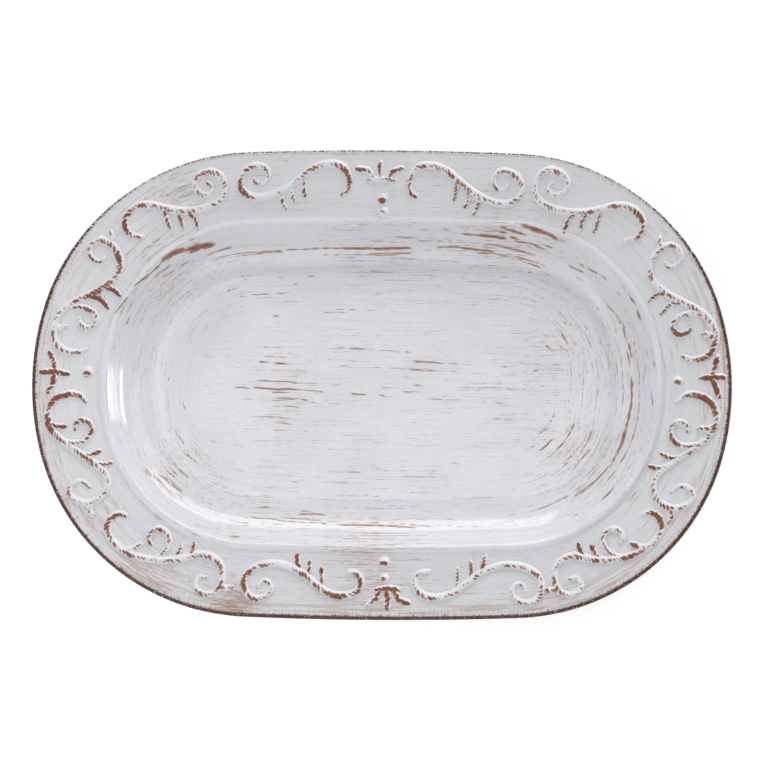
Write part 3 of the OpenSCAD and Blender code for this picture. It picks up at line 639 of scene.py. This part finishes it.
def platter_body(material):
    rows = body_rows()
    arc = np.arange(COLUMNS) * PERIMETER / COLUMNS
    outline, normal = station(arc)
    at = outline[None] - normal[None] * rows[:, 0, None, None]
    core_half_length = HALF_LENGTH - CORE_INSET
    at[..., 0] *= 1 - rows[:, 2, None] * (1 - CORNER_X / core_half_length)
    at[..., 1] *= 1 - rows[:, 2, None]
    verts = np.concatenate([at, np.broadcast_to(rows[:, 1, None, None], at.shape[:2] + (1,))], -1)
    faces = ring_faces(len(rows), COLUMNS)
    # The first and last rows have closed to a line: join each point to its mirror image.
    for row in (0, len(rows) - 1):
        j = np.arange(COLUMNS)
        mirrored = row * COLUMNS + np.where(j > COLUMNS // 2, COLUMNS - j, j)
        is_row = (faces >= row * COLUMNS) & (faces < (row + 1) * COLUMNS)
        faces[is_row] = mirrored[faces[is_row] - row * COLUMNS]
    faces = faces[:, ::-1]
    polygons = [list(dict.fromkeys(f)) for f in faces.tolist()]
    flat = verts.reshape(-1, 3)
    obj = new_mesh_object("glazed_body", flat, polygons, material)
    inset, nearest = inset_and_arc(flat[:, 0], flat[:, 1])
    point_attribute(obj, "brush", brush_vector(inset, nearest))
    is_top = np.repeat(np.arange(len(rows)) >= int(np.argmax(rows[:, 1])), COLUMNS)
    point_attribute(obj, "wear", np.where(is_top, wear_field(flat[:, 0], flat[:, 1]), UNDER_WEAR))
    point_attribute(obj, "bareness_and_highlight", rim_wear_and_back_highlight(flat[:, 1]))
    return obj


# ---- Milled rim and foot ----
def ring_object(name, section, columns, material, push=None):
    """Sweeps a closed section of [inset, height] points round the outline; push then moves the points."""
    arc = np.arange(columns) * PERIMETER / columns
    outline, normal = station(arc)
    inset, height = (np.repeat(np.array(section, float)[:, k, None], columns, 1) for k in (0, 1))
    if push is not None:
        push(inset, height)
    at = outline[None] - normal[None] * inset[..., None]
    verts = np.concatenate([at, height[..., None]], -1).reshape(-1, 3)
    obj = new_mesh_object(name, verts, ring_faces(len(section), columns, closed_rows=True)[:, ::-1], material)
    point_attribute(obj, "brush", brush_vector(inset.ravel(), np.broadcast_to(arc, inset.shape).ravel()))
    return obj


TEETH = 1064
GROOVE_SHAPE = (0.0, 0.6, 1.0, 0.55)  # depth across one tooth
GROOVE_DEPTH, GROOVE_VARIATION = 0.16, 0.16
GROOVE_SEED = 11
WANDER_SPAN, WANDER_SIZE = 41, 0.35 * 0.2  # slow unevenness round the rim
LEAST_CUT = 0.05
GROOVED_TOP = 33  # above this height the grooves lower the rim too
# [inset, height, share of the groove's depth, share that is bare brown, the same at the back of the platter,
# where the cream left on the outer face is painted highlight]
RIM_PROFILE = np.array([
    [2.7, 34.15, 0, 0.68, 0.1], [2.2, 34.62, 0.1, 0.95, 0.3], [1.7, 34.92, 0.45, 1, 0.62],
    [1.2, 35.0, 0.8, 1, 0.75], [0.75, 34.9, 1, 1, 0.55], [0.35, 34.55, 1, 1, 0.15], [0.1, 34.0, 1, 1, 0],
    [0.02, 33.2, 1, 1, 0], [0.1, 32.3, 0.9, 1, 0], [0.35, 31.5, 0.6, 1, 0], [0.9, 30.9, 0.2, 0.9, 0],
    [1.8, 30.72, 0, 0.5, 0], [2.7, 31.2, 0, 0.2, 0],
])


def milled_rim(material):
    rng = np.random.default_rng(GROOVE_SEED)
    depth = GROOVE_DEPTH + GROOVE_VARIATION * rng.random(TEETH)
    groove = (depth[:, None] * np.array(GROOVE_SHAPE)[None]).ravel()
    columns = len(groove)
    wander = rng.normal(size=columns + WANDER_SPAN - 1)
    wander = np.convolve(wander, np.ones(WANDER_SPAN) / WANDER_SPAN, "valid")
    cut = RIM_PROFILE[:, 2, None]

    def push(inset, height):
        inset += cut * (groove + LEAST_CUT + np.abs(wander) * WANDER_SIZE)[None]
        height -= cut * (RIM_PROFILE[:, 1, None] > GROOVED_TOP) * (groove * 0.8)[None]

    obj = ring_object("milled_rim", RIM_PROFILE[:, :2], columns, material, push)
    point_attribute(obj, "tooth", np.tile(groove / groove.max(), len(RIM_PROFILE)))
    outline, _ = station(np.arange(columns) * PERIMETER / columns)
    # The band is brown all over, except at the back, where only a thin line of it is bare and the cream over
    # the outer face is a painted highlight.
    share = np.clip((rim_wear_and_back_highlight(outline[:, 1]) - 0.15) / 0.85, 0, 1)[None]
    bareness_and_highlight = RIM_PROFILE[:, 3, None] * share + RIM_PROFILE[:, 4, None] * (1 - share)
    point_attribute(obj, "bareness_and_highlight", bareness_and_highlight.ravel())
    return obj


FOOT_WIDTH = 6.0
FOOT_SIDE = [(0, FLOOR_BOTTOM + 0.3), (0.5, 2.6), (1.0, 0.8), (1.6, 0.15), (2.4, 0)]  # [step in, height]


def foot(material):
    outer = HALF_LENGTH - FOOT_REACH
    section = [(outer + step, z) for step, z in FOOT_SIDE]
    section += [(outer + FOOT_WIDTH - step, z) for step, z in reversed(FOOT_SIDE)]
    return ring_object("unglazed_foot", section, COLUMNS, material)


# ---- Applied relief ----
# Each motif is drawn once, on the left; the copy on the right is mirrored and set on two anchor points of its
# own. A stroke is written as x,y, x,y, ... along its middle.
MOTIFS = {
    "side_front": {
        "anchors": [-75,-126, -11.8,-123.5],
        "scroll": [[-75,-126.5, -74,-124, -71,-122.3, -67.6,-124, -66.8,-128, -70,-131.8, -76,-133.2,
            -81.3,-130.5, -83.6,-125, -82.5,-119, -78,-114.8, -71,-112.3, -62,-112, -54,-114.5, -47,-118.5,
            -40,-124, -33,-129, -25,-131.2, -17.5,-130.3, -12.8,-126.5, -12,-121.3, -15,-117.3,
            -19.5,-116.5]],
        "leaves": [[-49,-115.5, -51,-111, -51.3,-106], [-43.5,-118.5, -44,-115, -43.5,-110.5], [-35.5,-124.5,
            -36,-120, -36,-114.5]],
    },
    "side_back": {
        "anchors": [-80,126, -20.7,126],
        "scroll": [[-80.2,128, -79.3,125.8, -76,124.6, -72.8,126.8, -71.5,131, -73.8,134.8, -78.5,136,
            -84,134.3, -88,130, -89,125, -87,120.3, -82.5,117.2, -76.5,116.3, -69,118, -62,121, -55.5,125.3,
            -50,129.5, -44.5,133.7, -38,136.6, -31,137.4, -25.5,135.8, -22,131.5, -20.7,126, -21.8,121,
            -25,118.5]],
        "leaves": [[-63.2,119, -62.5,113.5, -60.5,109.5], [-57,122, -56.5,117.5, -55,113.5], [-49.5,127.5,
            -49,122, -48.5,117.5]],
    },
    "corner_back": {
        "anchors": [-108,125, -160.2,101],
        "scroll": [[-109.3,125, -107,123.6, -106.3,120.8, -109,117.8, -113.3,118.2, -116.8,121.5, -117,126,
            -113.5,130.3, -107.5,132, -102,129.8, -98.9,125, -98.8,118.5, -102.5,113.2, -110,109.8,
            -119,107.7, -128,107.5, -137,109.2, -145,110.8, -152,110, -157.5,106.3, -160.2,101, -159.3,95.5,
            -155.5,91.8, -149.5,90.7]],
        "leaves": [[-121.5,106.5, -117.5,103, -115,96.3], [-128,106.5, -125.8,102, -124.2,97], [-136,107.5,
            -134,101.5, -132.2,96.2]],
    },
    "corner_front": {
        "anchors": [-105,-124.5, -167.5,-90.5],
        "scroll": [[-106.5,-120.5, -110.5,-120.3, -113,-124.3, -111.5,-128.8, -106.5,-131, -100.8,-129.6,
            -97.3,-125, -96.6,-118.5, -98.3,-112, -103.5,-107.8, -110.5,-106.3, -118,-108.3, -126,-110,
            -135,-110.3, -144,-109.3, -152,-107, -159,-103.3, -164.5,-98, -167.5,-91.5, -166,-85, -161,-81.7,
            -156,-83], [-142,-109, -136,-107.5, -131.2,-103.5, -129.4,-98, -131.5,-92.8, -136.5,-90.8,
            -141.2,-93.2, -142.3,-98, -140,-100.5], [-158,-104, -152.5,-103.5, -147,-100.7], [-98,-125.5,
            -94.5,-127.3, -90.5,-126.3]],
        "leaves": [[-126.5,-109.5, -124.2,-106, -122,-101], [-119.5,-108.5, -115.6,-105.5, -113.8,-99]],
    },
    "end_front": {
        "anchors": [-180,-69, -205.5,-20],
        "scroll": [[-178.7,-65.7, -182,-62.8, -186.5,-62.5, -190.5,-65.5, -190.6,-70.5, -186,-74.3,
            -179.5,-75.6, -173,-73, -169.2,-68, -168.3,-62, -170.7,-56.3, -175.5,-51.7, -181.5,-47.5,
            -187.5,-43.5, -194,-39, -199.5,-34, -204,-27.5, -205.3,-20.5, -203,-13.8, -198,-9.6, -191.5,-7.8,
            -186,-8.8, -182.3,-12.5], [-199,-34, -194.5,-37.3, -187.5,-38.7, -181.5,-36.3, -178.6,-31,
            -180,-26, -184.5,-24.2, -188.2,-26.5, -188.7,-30], [-204,-27, -199.5,-28.4, -194.5,-28],
            [-177,-75, -178.5,-79.5, -177,-84]],
        "leaves": [[-189,-42, -184.5,-45, -179,-45.7, -173,-43], [-177,-49.8, -171.5,-51.8, -166,-50.5]],
    },
    "end_back": {
        "anchors": [-172.5,81.7, -203,28.5],
        "scroll": [[-172.5,77.5, -175,75.2, -179.3,76.5, -182,80.5, -180.5,85.5, -175.5,88.5, -169.5,86.5,
            -165,81.5, -163,75, -164,68.5, -168,63, -174,58.5, -181,54.5, -188,51, -194.5,47, -199.5,42,
            -202.5,35.5, -203,28.5, -200.5,22.5, -195.5,19, -189,18, -183.5,19.8], [-197,44.5, -192.5,46,
            -186.5,46.3, -180.5,44.2, -177,39.5, -178.5,35, -183,33.3, -187,36, -187.7,40], [-202.5,32,
            -199,33.2, -195.3,33.8], [-169.5,86.5, -168.3,90, -168.8,93.5]],
        "leaves": [[-183,53, -177,52.3, -172.8,49.5, -170,46], [-175,59, -169,58.3, -165.5,56.5, -162.8,54]],
    },
}
RIGHT_ANCHORS = {
    "side_front": [89,-127.5, 20.5,-123.5],
    "side_back": [77.5,123, 16.5,125.5],
    "corner_back": [105,126.5, 162,101.5],
    "corner_front": [114.5,-124, 172,-87],
    "end_front": [179.5,-70, 206.5,-19],
    "end_back": [176,80, 206,26],
}
PALMETTES = {
    "front": [[-2.5,-127.3, 4.5,-126.8, 11.5,-127.5], [-0.5,-128.5, -3,-133, -8,-137], [4.2,-128, 4.2,-133,
        4.2,-139], [8.5,-128.5, 11.5,-133.5, 17,-135.5]],
    "back": [[-9,127, -1,127.8, 7,127.3], [-5.5,128.5, -9.5,133.3, -16,134.5], [-1.8,128, -1.8,133,
        -1.6,138.5], [3.5,128.5, 6,132.8, 12,134.8]],
    "left": [[-193.5,4.5, -198,5.2, -203,6], [-202,6, -206,5.8, -210,5.2], [-201.5,7, -202.5,12, -205,17.5],
        [-202,4.5, -203,-1, -205.5,-7]],
    "right": [[197,3.8, 200.5,4.2, 205,4.4], [204,4.4, 207.5,4.5, 211,4.3], [203.5,5.5, 206,11, 207.3,17],
        [203.5,3.5, 206.3,-2, 208,-8]],
}
# [x, y, radius]
BEADS = {
    "beads_front": [(2, -110.5, 3.4), (2.3, -120.5, 2.7)],
    "beads_back": [(0, 116, 3.2), (0, 107.5, 3.4)],
    "bead_left": [(-181.8, 5.8, 3.4)],
    "bead_right": [(183, 1.8, 3.4)],
}
SCROLL_WIDTH, SCROLL_HEIGHT = 5.2, 2.1
LEAF_WIDTH, LEAF_HEIGHT = 3.5, 1.5
PALMETTE_WIDTH = 4.2
BEAD_HEIGHT = 2.0
OFFSHOOT_SCALE = 0.85
# How large a stroke is at its first and its last end, and how worn its crest is.
SCROLL_ENDS, SCROLL_WORN = (0.5, 0.6), 0.05
LEAF_ENDS, LEAF_WORN = (0.55, 0.7), 0.45
PALMETTE_ENDS, PALMETTE_WORN = (0.7, 0.75), 0.25
FIRST_GROWTH, LAST_GROWTH = 0.3, 0.15  # share of a stroke over which each end grows
GRID = 0.36  # mesh step of the relief
SOFTEN = 0.30  # rounding where a ridge meets the flange
RIDGE_POWER = 2.5  # above 2 the ridge is flatter on top than a parabola
LEAST_LIFT, SINK = 0.035, 0.045  # where the relief's mesh ends, and how far it is let into the flange
# Painted shade as well as wear: the brown is moved to the side of each crest that faces away from the lamps.
WEAR_AND_SHADE_SHIFT = (0.50, 0.78)  # the brown sits off the crest, to the front and left
NOTCH_PITCH, NOTCH_LEAN, NOTCH_WIDTH, NOTCH_DEPTH = 2.9, 0.75, 0.17, 0.22
NOTCH_STRENGTHS = 400
CHUNK = 4000  # points matched at a time, to spare memory


def as_points(flat):
    return np.array(flat, float).reshape(-1, 2)


def as_complex(points, mirror=1):
    return mirror * points[:, 0] + 1j * points[:, 1]


def on_right(flat, motif):
    """The mirrored copy of a stroke, turned and scaled on to the right-hand anchors."""
    a, b = as_complex(as_points(MOTIFS[motif]["anchors"]), -1)
    c, d = as_complex(as_points(RIGHT_ANCHORS[motif]))
    placed = c + (as_complex(as_points(flat), -1) - a) * (d - c) / (b - a)
    return np.stack([placed.real, placed.imag], -1).ravel()


def smooth_step(x, low, high):
    u = np.clip((x - low) / (high - low), 0, 1)
    return u * u * (3 - 2 * u)


def nearest_index(points, line):
    """For each point, the index of the nearest point of the line."""
    nearest = np.empty(len(points), int)
    for start in range(0, len(points), CHUNK):
        part = points[start:start + CHUNK]
        nearest[start:start + CHUNK] = ((part[:, None] - line[None]) ** 2).sum(-1).argmin(1)
    return nearest


def notches(length, side, rng):
    """Slanting cross notches, uneven in depth and spacing."""
    phase = (length + NOTCH_LEAN * side) / NOTCH_PITCH + rng.random()
    phase += 0.35 * np.sin(phase * 0.9 + rng.random() * 6)
    amounts = 0.25 + 0.75 * rng.random(NOTCH_STRENGTHS)
    amount = amounts[np.floor(phase).astype(int) % NOTCH_STRENGTHS]
    return np.exp(-((phase % 1 - 0.5) / NOTCH_WIDTH) ** 2) * amount


def relief(name, strokes, material, seed, worn=0.0):
    """A relief of ridges as one surface that rises softly from the flange.

    A stroke is (points, width, height, its sizes at the first and the last end)."""
    rng = np.random.default_rng(seed)
    reach = max(s[1] for s in strokes) / 2 + 1.6
    everything = np.vstack([as_points(s[0]) for s in strokes])
    low = np.floor((everything.min(0) - reach - 2) / GRID) * GRID
    high = everything.max(0) + reach + 2
    gx, gy = np.meshgrid(*(np.arange(low[k], high[k], GRID) for k in (0, 1)), indexing="ij")
    at = np.stack([gx.ravel(), gy.ravel()], -1)
    best = np.full(len(at), -9.0)
    crest, notch = np.zeros(len(at)), np.zeros(len(at))
    along = np.zeros((len(at), 3))
    for index, (points, width, height, (first, last)) in enumerate(strokes):
        line, length = curve_points(as_points(points))
        ahead = np.gradient(line, axis=0)
        ahead /= np.linalg.norm(ahead, axis=1)[:, None]
        centre, half = (line.min(0) + line.max(0)) / 2, (line.max(0) - line.min(0)) / 2
        near = np.flatnonzero((np.abs(at - centre) < half + reach).all(1))
        nearest = nearest_index(at[near], line)
        away = at[near] - line[nearest]
        side = ahead[nearest, 0] * away[:, 1] - ahead[nearest, 1] * away[:, 0]
        u = length[nearest] / length[-1]
        size = np.minimum(first + (1 - first) * np.sin(np.pi / 2 * np.minimum(1, u / FIRST_GROWTH)),
                          last + (1 - last) * np.sin(np.pi / 2 * np.minimum(1, (1 - u) / LAST_GROWTH)))
        half_width = width / 2 * size
        rise = height * size * (1 - (np.linalg.norm(away, axis=1) / half_width) ** RIDGE_POWER)
        groove = notches(length[nearest], side, rng) * smooth_step(rise, 0.1, 0.9)
        # The brown's line is moved off the crest to the shaded front and left side: painted shade as well as
        # wear.
        off_worn_shaded_line = np.linalg.norm(away + np.array(WEAR_AND_SHADE_SHIFT) * width / SCROLL_WIDTH, axis=1) / half_width
        wins = rise > best[near]
        chosen = near[wins]
        best[chosen] = rise[wins]
        crest[chosen] = np.clip(1 - off_worn_shaded_line**2, 0, 1)[wins]
        notch[chosen] = groove[wins]
        along[chosen] = np.stack([length[nearest], side, np.full(len(near), 7.0 * index + seed)], -1)[wins]
    lift = (best + np.sqrt(best**2 + SOFTEN**2)) / 2 - notch * NOTCH_DEPTH
    inset, _ = inset_and_arc(at[:, 0], at[:, 1])
    z = top_z(inset) + lift - SINK
    # Keep the quads whose four corners all rise from the flange.
    grid = np.arange(len(at)).reshape(gx.shape)
    quads = np.stack([grid[:-1, :-1], grid[1:, :-1], grid[1:, 1:], grid[:-1, 1:]], -1).reshape(-1, 4)
    quads = quads[(lift > LEAST_LIFT)[quads].all(1)]
    used = np.unique(quads)
    new_index = np.full(len(at), -1)
    new_index[used] = np.arange(len(used))
    obj = new_mesh_object(name, np.column_stack([at[used], z[used]]), new_index[quads], material)
    for attribute, values in (("crest", crest), ("notch", notch), ("along", along)):
        point_attribute(obj, attribute, values[used])
    point_attribute(obj, "rub", rub_field(at[used]) + worn)
    return obj


# Places where the crests are rubbed hard, [x, y, radius, strength], and where the glaze is whole (negative).
RUBBED = [
    [-82, -122, 10, 0.6], [-42, -119, 8, 0.4], [-26, -131, 7, 0.5], [-13, -124, 6, 0.6],
    [-50.5, -108, 5, 0.6], [-60, -112, 7, -0.6], [-88, 123, 7, 0.6], [-73, 127, 6, 0.4],
    [-44, 130, 7, 0.4], [-22, 126, 10, 0.7], [-74, 117, 8, -0.7], [-60, 121, 5, -0.4],
    [-33, 138, 5, -0.4], [-158, 100, 9, 0.7], [-110, 129, 8, 0.4], [-165, 75, 11, 0.6],
    [-175, 51, 10, 0.7], [-197, -13, 12, 0.7], [-204, -28, 8, 0.5], [-184, -30, 8, 0.6],
    [-180, -48, 8, 0.4], [-164, -88, 9, 0.7], [-139, -97, 7, 0.5], [-104, -126, 8, 0.4],
    [170, -84, 9, 0.7], [119, -101, 6, 0.6], [130, -99, 6, 0.6], [152, -106, 8, 0.5], [202, 20, 9, 0.6],
    [184, 31, 7, 0.6], [200, -12, 10, 0.6], [184, -32, 7, 0.4], [203, -28, 6, 0.5], [4, -134, 11, 0.6],
    [2, 134, 8, 0.4], [-203, 6, 11, 0.6], [206, 3, 11, 0.6], [160, 100, 9, 0.5], [105, -126, 8, 0.4],
    [22, 125, 8, 0.4], [-2, 127.5, 5, -0.5], [0, 112, 8, 0.3], [2, -115, 8, 0.3], [-182, 6, 5, 0.3],
    [183, 2, 5, 0.3],
]


def rub_field(at):
    rub = np.zeros(len(at))
    for x, y, radius, strength in RUBBED:
        rub += strength * np.exp(-((at[:, 0] - x) ** 2 + (at[:, 1] - y) ** 2) / radius**2)
    return np.clip(rub, -1, 1)


def make_relief(material):
    """Every applied piece, with the name of the node that it stands for."""
    groups = []
    for motif, parts in MOTIFS.items():
        word, place = motif.split("_")
        for hand in ("left", "right"):
            placed = {kind: [s if hand == "left" else on_right(s, motif) for s in parts[kind]]
                      for kind in ("scroll", "leaves")}
            widths = [SCROLL_WIDTH] + [SCROLL_WIDTH * OFFSHOOT_SCALE] * (len(placed["scroll"]) - 1)
            stems = [(s, w, SCROLL_HEIGHT, SCROLL_ENDS) for s, w in zip(placed["scroll"], widths)]
            blades = [(s, LEAF_WIDTH, LEAF_HEIGHT, LEAF_ENDS) for s in placed["leaves"]]
            groups.append((f"{word}_scroll_{place}_{hand}", stems, SCROLL_WORN))
            groups.append((f"{word}_leaves_{place}_{hand}", blades, LEAF_WORN))
    for place, petals in PALMETTES.items():
        groups.append((f"palmette_{place}", [(p, PALMETTE_WIDTH, LEAF_HEIGHT, PALMETTE_ENDS) for p in petals],
                       PALMETTE_WORN))
    for node, places in BEADS.items():
        beads = [([x - 0.25, y, x, y, x + 0.25, y], 2 * r, BEAD_HEIGHT, (1, 1)) for x, y, r in places]
        groups.append((node, beads, 0.0))
    return [(relief("relief_" + node, strokes, material, seed, worn), node)
            for seed, (node, strokes, worn) in enumerate(groups, 1)]


# ---- Build ----
body = platter_body(glaze_material())
rim = milled_rim(rim_material())
foot_piece = foot(foot_material())
for obj, node, slot in ((body, "platter_body", "glaze"), (rim, "milled_edge", "brown_edge"),
                        (foot_piece, "foot_ring", "bare_foot")):
    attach(obj, "root")
    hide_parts(node)
for obj, node in make_relief(relief_material()):
    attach(obj, "root")
    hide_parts(node)

# ---- Floor, light and camera ----
FLOOR_SIZE, FLOOR_GLOW = 12, 0.32
SKY_LEVELS = (0.44, 0.06)  # from the horizon down, and overhead
PAPER = (0.93, 0.93, 0.93, 1)
bpy.ops.mesh.primitive_plane_add(size=FLOOR_SIZE, location=(0, 0, -0.0001))
floor = bpy.context.object
floor.name = "studio_floor"
paper = Shader("studio_paper")
paper.finish(PAPER, 0.9)
paper.bsdf.inputs["Emission Color"].default_value = (1, 1, 1, 1)
paper.bsdf.inputs["Emission Strength"].default_value = FLOOR_GLOW
floor.data.materials.append(paper.material)

scene = bpy.context.scene
scene.view_settings.view_transform = "Standard"
world = bpy.data.worlds.new("studio")
scene.world = world
world.use_nodes = True
tree = world.node_tree
background = tree.nodes["Background"]
direction = tree.nodes.new("ShaderNodeTexCoord").outputs["Generated"]
height = tree.nodes.new("ShaderNodeSeparateXYZ")
tree.links.new(direction, height.inputs[0])
sky = tree.nodes.new("ShaderNodeValToRGB")
for element, level in zip(sky.color_ramp.elements, SKY_LEVELS):
    element.color = (level, level, level * 1.02, 1)
tree.links.new(height.outputs["Z"], sky.inputs[0])
tree.links.new(sky.outputs[0], background.inputs[0])
background.inputs[1].default_value = 1.0


def softbox(name, place, size, radiance):
    """A soft panel that faces the platter, metres and watts per square metre and steradian."""
    data = bpy.data.lights.new(name, "AREA")
    data.shape = "RECTANGLE"
    data.size, data.size_y = size
    data.energy = radiance * math.pi * size[0] * size[1]
    obj = bpy.data.objects.new(name, data)
    scene.collection.objects.link(obj)
    obj.location = place
    obj.rotation_euler = (-Vector(place)).to_track_quat("-Z", "Y").to_euler()


softbox("overhead", (0.05, 0.20, 2.2), (0.75, 0.75), 1.8)
softbox("behind", (0.45, 1.5, 0.50), (1.8, 0.8), 4.3)
softbox("key_right", (1.1, 0.55, 0.95), (0.7, 0.7), 1.2)
softbox("front_box", (-0.2, -0.90, 1.1), (1.6, 0.9), 1.8)
softbox("left_box", (-0.95, -0.1, 1.0), (1.0, 0.9), 1.6)
softbox("low_right", (1.5, 0.32, 0.16), (0.44, 0.09), 18.0)

right = Vector((1, 0, 0))
level_up = BACKWARD.cross(right)
rolled_right = math.cos(ROLL) * right + math.sin(ROLL) * level_up
rolled_up = BACKWARD.cross(rolled_right)
camera_data = bpy.data.cameras.new("camera")
camera_data.lens = LENS
camera_data.sensor_width = SENSOR
camera = bpy.data.objects.new("camera", camera_data)
scene.collection.objects.link(camera)
turned = Matrix((rolled_right, rolled_up, BACKWARD)).transposed().to_4x4()
camera.matrix_world = Matrix.Translation(EYE * MM) @ turned
scene.camera = camera
